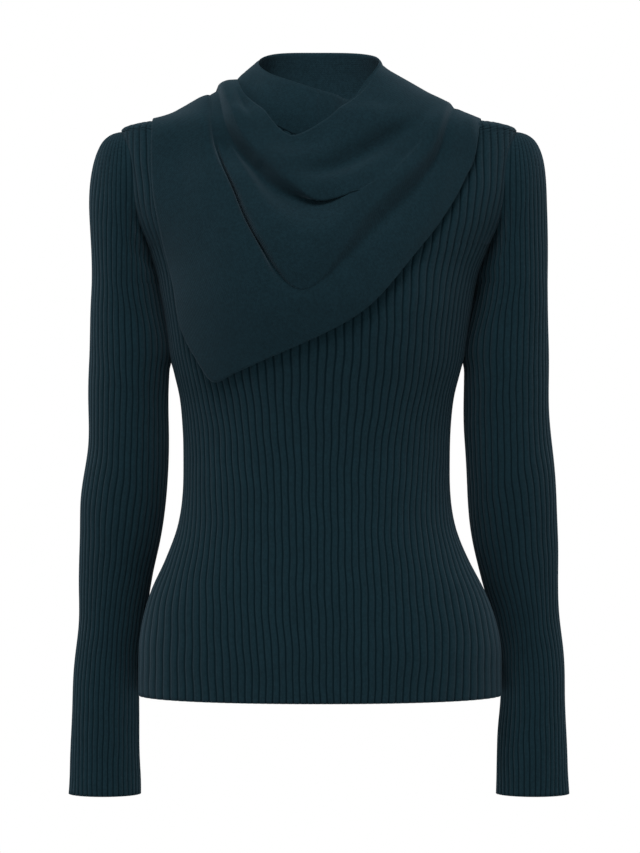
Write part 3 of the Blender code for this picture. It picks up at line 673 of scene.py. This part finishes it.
# Scarf folds, from the neck out. Each row is station, x, height, lift off the bed. Stations 0 to 7
# run across the front, from the wearer's right shoulder ridge to the left one.
SCARF_FOLDS = {
    "neck_edge": [(0, -77.5, 3.8, 0.8), (1, -66.5, -15.5, 3), (2, -48, -34, 7), (3, -33, -51, 11),
                  (4, -19, -55, 13), (5, 9, -39, 11), (6, 36, -17, 6), (7, 62.5, 14, 1)],
    "roll_1": [(0, -83.5, 0.3, 4), (1, -76, -33, 11), (2, -60, -56, 14), (3, -37, -79, 19),
               (4, -6, -88, 20), (5, 34, -62, 16), (6, 62, -36, 9), (7, 82, 1, 2.5)],
    "lip_1": [(0, -92, -5, 4.5), (1, -76, -43, 11.5), (2, -57, -72, 15), (3, -25, -103, 17),
              (4, 8, -117, 13), (4.4, 30, -108, 14), (5, 52, -91, 13.5), (6, 81, -56, 8.5), (7, 101, -10, 2.3)],
    "valley_1": [(0, -95, -6.5, 0.8), (1, -84.5, -45, 1.5), (2, -66, -76, 2), (3, -33, -109, 3),
                 (4, 10, -117, 8.5), (4.4, 33, -112, 14), (5, 56, -97, 13.5), (6, 87, -61, 9), (7, 108, -13, 2.3)],
    "roll_2": [(0, -97.5, -8, 1.2), (1, -85, -54.5, 4), (2, -65, -92, 11), (3, -39, -130, 15),
               (4, 2, -151, 15), (5, 50, -111, 14.5), (6, 90.5, -65, 11.5), (7, 117, -18, 2.5)],
    "lip_2": [(0, -100, -9, 1.4), (1, -89.5, -66, 6), (2, -71.5, -107, 12), (3, -49, -150.5, 12.5),
              (4, -10, -190, 7), (5, 46, -126.5, 13), (6, 95.5, -75, 11.5), (7, 122, -20, 2.5)],
    "valley_2": [(0, -102, -10, 0.5), (1, -93.5, -63, 0.8), (2, -77, -104.5, 0.8), (3, -55.5, -151, 0.8),
                 (4, -13, -196, 5.5), (5, 51, -138, 2), (6, 101, -83, 1.5), (7, 126, -23, 1.2)],
    "panel_top": [(0, -106, -12, 2.6), (1, -98, -65.5, 8.5), (2, -82, -106.5, 10.5), (3, -60.5, -154, 10),
                  (4, -18, -208, 6), (5, 57, -149, 4.5), (6, 106, -91, 4.5), (7, 130, -25, 2.2)],
    "panel_middle": [(0, -128, -24, 2.6), (1, -124, -80, 3), (2, -115, -150, 4), (3, -82, -226, 4.5),
                     (4, -12, -226, 4), (5, 67, -167, 4), (6, 112, -104, 4), (7, 139, -30, 2.8)],
    "outer_edge": [(0, -151.5, -34, 3), (0.6, -152, -76, 2.4), (1, -150, -106, 1.8),
                   (1.5, -141.5, -149, 1.6), (2, -132.5, -185, 1.8), (2.6, -121, -236, 2.2),
                   (2.85, -107, -260, 2.6), (3, -95, -278, 2.8), (3.15, -81, -271, 2.6),
                   (3.4, -51, -257.5, 2.2), (3.7, -24, -246, 1.9), (4, 1, -235, 1.8),
                   (4.6, 38, -214, 1.8), (5, 56, -198, 1.8), (5.5, 87, -160, 1.8),
                   (6, 109, -132, 1.8), (6.5, 132, -92, 2.4), (6.8, 144, -58, 2.8), (7, 150, -34, 3)],
}
# Behind the neck the same folds run on: share of the way from neck edge to outer edge, and lift
BACK_FOLDS = {
    "neck_edge": (0.0, 0.0), "roll_1": (0.12, 5.5), "lip_1": (0.3, 5.0), "valley_1": (0.34, 2.0),
    "roll_2": (0.46, 5.5), "lip_2": (0.62, 5.0), "valley_2": (0.66, 1.8), "panel_top": (0.73, 4.0),
    "panel_middle": (0.86, 3.5), "outer_edge": (1.0, 1.8),
}
# Behind: station, neck edge x, height and lift, outer edge x and height
BACK_STATIONS = [
    (8, 61.0, 11.0, -1.0, 139.0, -66.0),
    (9, 34.0, 10.0, -7.5, 92.0, -100.0),
    (10, 0.0, 9.0, -10.5, 0.0, -114.0),
    (11, -38.0, 8.0, -7.5, -94.0, -100.0),
    (12, -73.0, 4.6, -0.5, -140.0, -66.0),
]
SCARF_STATIONS = 13


class ScarfBed:
    """The surface that the scarf lies on, addressed by x and by the way w walked forwards
    (or, below zero, backwards) from the ridge of the shoulders."""

    STEP, REACH = 1.5, 420.0

    def __init__(self):
        low = [(h, a + SCARF_CLEARANCE, f + SCARF_CLEARANCE + 1, b + SCARF_CLEARANCE, p)
               for h, a, f, b, p, _ in BODY_ROWS if -400 < h < -60]
        form = Curve(low + SCARF_BED_ROWS, level=True)
        heights = np.linspace(SCARF_BED_ROWS[-1][0], SCARF_BED_ROWS[0][0], 200)
        widths = form(heights)[:, 0]
        self.x = np.arange(0, 184.0, 2.0)
        self.w = np.arange(-self.REACH, self.REACH + self.STEP, self.STEP)
        self.y = np.empty((len(self.x), len(self.w)))
        self.z = np.empty_like(self.y)
        for i, x in enumerate(self.x):
            ridge = float(np.interp(x, widths, heights))
            z = ridge - (ridge + 380) * np.linspace(0, 1, 260) ** 2
            half, front_depth, back_depth, power = form(z).T
            room = np.maximum(0, 1 - (x / np.maximum(half, x + 1e-6)) ** power) ** (1 / power)
            room[0] = 0
            ways = []
            for depth in (-front_depth, back_depth):
                y = depth * room
                ways.append((np.concatenate([[0], np.cumsum(np.hypot(np.diff(y), np.diff(z)))]), y))
            (way_front, y_front), (way_back, y_back) = ways
            way = np.concatenate([-way_back[:0:-1], way_front])
            self.y[i] = np.interp(self.w, way, np.concatenate([y_back[:0:-1], y_front]))
            self.z[i] = np.interp(self.w, way, np.concatenate([z[:0:-1], z]))

    def place(self, x, w):
        """Points of the bed."""
        column = np.clip(abs(x) / 2.0, 0, len(self.x) - 1.001)
        row = np.clip((w + self.REACH) / self.STEP, 0, len(self.w) - 1.001)
        i, j = column.astype(int), row.astype(int)
        s, t = column - i, row - j
        found = [(g[i, j] * (1 - s) + g[i + 1, j] * s) * (1 - t) + (g[i, j + 1] * (1 - s) + g[i + 1, j + 1] * s) * t
                 for g in (self.y, self.z)]
        return np.stack([x, found[0], found[1]], -1)

    def normal(self, x, w, reach=3.0):
        """Outward directions of the bed."""
        across = self.place(x + reach, w) - self.place(x - reach, w)
        down = self.place(x, w + reach) - self.place(x, w - reach)
        out = np.cross(down, across)
        return out / np.linalg.norm(out, axis=-1, keepdims=True)

    def way(self, x, height, side):
        """The way w from the ridge to a height, in front or behind."""
        walk = self.w[self.w >= 0] if side == "front" else self.w[self.w <= 0][::-1]
        z = self.place(np.full(len(walk), float(x)), walk)[:, 2]
        return float(np.interp(-height, -z, walk))


# The scarf's stations run over the chest from ridge to ridge, then behind the neck. Close to a
# ridge the folds are led by their way from it, and farther on by height.
FRONT_STATIONS = 7
RIDGE_STATIONS = 0.6


def scarf_lines(bed):
    """Each fold of the scarf as a closed curve of station to x, way and lift."""
    lines = []
    for name, rows in SCARF_FOLDS.items():
        around = []
        for station, x, height, lift in rows:
            ridge = station in (0, FRONT_STATIONS)
            around.append((station, x, 0.0 if ridge else bed.way(x, height, "front"), lift, height))
        share, lift = BACK_FOLDS[name]
        for station, neck_x, neck_z, neck_lift, outer_x, outer_z in BACK_STATIONS:
            x, z = neck_x + (outer_x - neck_x) * share, neck_z + (outer_z - neck_z) * share
            around.append((station, x, bed.way(x, z, "back"), lift if share else neck_lift, z))
        lines.append(Curve(around, period=SCARF_STATIONS))
    return lines


def scarf_line_at(bed, line, stations):
    """x, way and lift along a fold: away from the ridges it runs smoothly in x and height."""
    x, w, lift, height = line(stations).T
    behind = stations > FRONT_STATIONS
    begin = np.where(behind, FRONT_STATIONS, 0)
    end = np.where(behind, SCARF_STATIONS, FRONT_STATIONS)
    share = np.clip(np.minimum(stations - begin, end - stations) / RIDGE_STATIONS - 0.5, 0, 1)
    level = np.array([bed.way(a, b, "back" if c else "front") for a, b, c in zip(x, height, behind)])
    return np.stack([x, w + (level - w) * share, lift], -1)


# Soft creases of the cowl, each along points of x, height: its depth and half its width.
COWL_CREASES = [
    ([(-20, -84), (0, -84), (26, -76), (68, -53), (101, -30)], 9.0, 9.0),
    ([(-76, -8), (-62, -34)], 4.0, 3.0),
    ([(-100, -10), (-92, -50), (-74, -84)], 6.0, 7.0),
]


def crease_depth(points):
    """How deep the cowl's creases press in at points of the front, fading at their ends."""
    depth = np.zeros(points.shape[:-1])
    flat = points[..., [0, 2]]
    for course, deepest, half_width in COWL_CREASES:
        course = Curve([(k, *at) for k, at in enumerate(course)])(np.linspace(0, len(course) - 1, 40))
        far = np.linalg.norm(flat[..., None, :] - course, axis=-1)
        end = np.sin(np.pi * (np.argmin(far, -1) + 3) / 45.0)
        depth += deepest * end * np.exp(-(far.min(-1) / half_width) ** 2)
    return np.where(points[..., 1] < 0, depth, 0)


LEAST_LIFT = 0.8


def blur(grid, times):
    """Smooth a grid that is closed along its columns, keeping its first and last row in place."""
    for _ in range(times):
        grid = (np.roll(grid, 1, 1) + 2 * grid + np.roll(grid, -1, 1)) / 4
        grid[1:-1] = (grid[:-2] + 2 * grid[1:-1] + grid[2:]) / 4
    return grid


def scarf_grid(stations, across):
    """Points of the scarf's outer face: stations go round the neck, across counts the folds."""
    bed = ScarfBed()
    lines = np.array([scarf_line_at(bed, line, stations) for line in scarf_lines(bed)])
    count = len(stations)
    profile = Curve(np.column_stack([np.arange(len(lines)), lines.reshape(len(lines), -1)]))
    values = profile(across).reshape(len(across), count, 3)
    x, w, lift = np.moveaxis(values, -1, 0)
    base, normal = bed.place(x, w), bed.normal(x, w)
    normal = blur(normal, 3)
    room = np.maximum(lift - LEAST_LIFT, 0)
    lift -= np.minimum(room, crease_depth(base + lift[..., None] * normal))
    return blur(base + lift[..., None] * normal, 2)


stations = np.arange(260) * SCARF_STATIONS / 260
folds_across = np.linspace(0, 9, 160)
outer = scarf_grid(stations, folds_across)
inner = outer + outward_normals(outer, 1, closed=True) * SCARF_WALL
uv = np.stack(np.broadcast_arrays(stations[None] * 70.0 / STITCH_WIDE, folds_across[:, None] * 0.022), -1)
scarf = cloth_piece("scarf", outer, inner, uv, uv, True)
scarf.data.materials.append(plain_wool)
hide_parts("scarf_drape")
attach(scarf, "root")

# FLOOR, LIGHT AND CAMERA
# A plain pale floor below the picture, a white room and one broad soft light in front.
bpy.ops.mesh.primitive_plane_add(size=2.4, location=(0, 0, -0.9))
floor = bpy.context.object
floor.name = "floor"
paint = bpy.data.materials.new("floor_paint")
paint.use_nodes = True
paint.node_tree.nodes["Principled BSDF"].inputs["Base Color"].default_value = (0.86, 0.86, 0.86, 1.0)
paint.node_tree.nodes["Principled BSDF"].inputs["Roughness"].default_value = 0.9
floor.data.materials.append(paint)

# The room looks pure white, and lights the cloth less than that.
ROOM_LIGHT = 0.54
room = bpy.data.worlds.new("white_room")
bpy.context.scene.world = room
room.use_nodes = True
seen = room.node_tree.nodes["Background"]
seen.inputs["Color"].default_value = (1.0, 1.0, 1.0, 1.0)
seen.inputs["Strength"].default_value = 1.0
lit = room.node_tree.nodes.new("ShaderNodeBackground")
lit.inputs["Color"].default_value = (1.0, 1.0, 1.0, 1.0)
lit.inputs["Strength"].default_value = ROOM_LIGHT
chosen = room.node_tree.nodes.new("ShaderNodeMixShader")
ray = room.node_tree.nodes.new("ShaderNodeLightPath")
room.node_tree.links.new(ray.outputs["Is Camera Ray"], chosen.inputs[0])
room.node_tree.links.new(lit.outputs[0], chosen.inputs[1])
room.node_tree.links.new(seen.outputs[0], chosen.inputs[2])
room.node_tree.links.new(chosen.outputs[0], room.node_tree.nodes["World Output"].inputs["Surface"])


def soft_light(name, place, aim, size, watts):
    """Square area light that looks from a place to a point."""
    lamp = bpy.data.lights.new(name, "AREA")
    lamp.shape, lamp.size, lamp.energy = "SQUARE", size, watts
    holder = bpy.data.objects.new(name, lamp)
    bpy.context.scene.collection.objects.link(holder)
    holder.location = place
    holder.rotation_euler = (Vector(aim) - Vector(place)).to_track_quat("-Z", "Y").to_euler()


soft_light("key_light", (-0.3, -1.8, 2.4), (0, 0, -0.3), 1.3, 82.0)
soft_light("left_rim_light", (-1.7, 2.2, 0.5), (0, 0, -0.35), 1.2, 9.0)
soft_light("right_rim_light", (1.7, 2.2, 0.5), (0, 0, -0.35), 1.2, 9.0)

lens = bpy.data.cameras.new("camera")
lens.lens, lens.sensor_width = 136.1, 36.0
camera = bpy.data.objects.new("camera", lens)
bpy.context.scene.collection.objects.link(camera)
camera.location = (0.00093, -3.0, -0.3167)
camera.rotation_euler = (math.pi / 2, 0, 0)
bpy.context.scene.camera = camera
bpy.context.scene.view_settings.view_transform = "Standard"
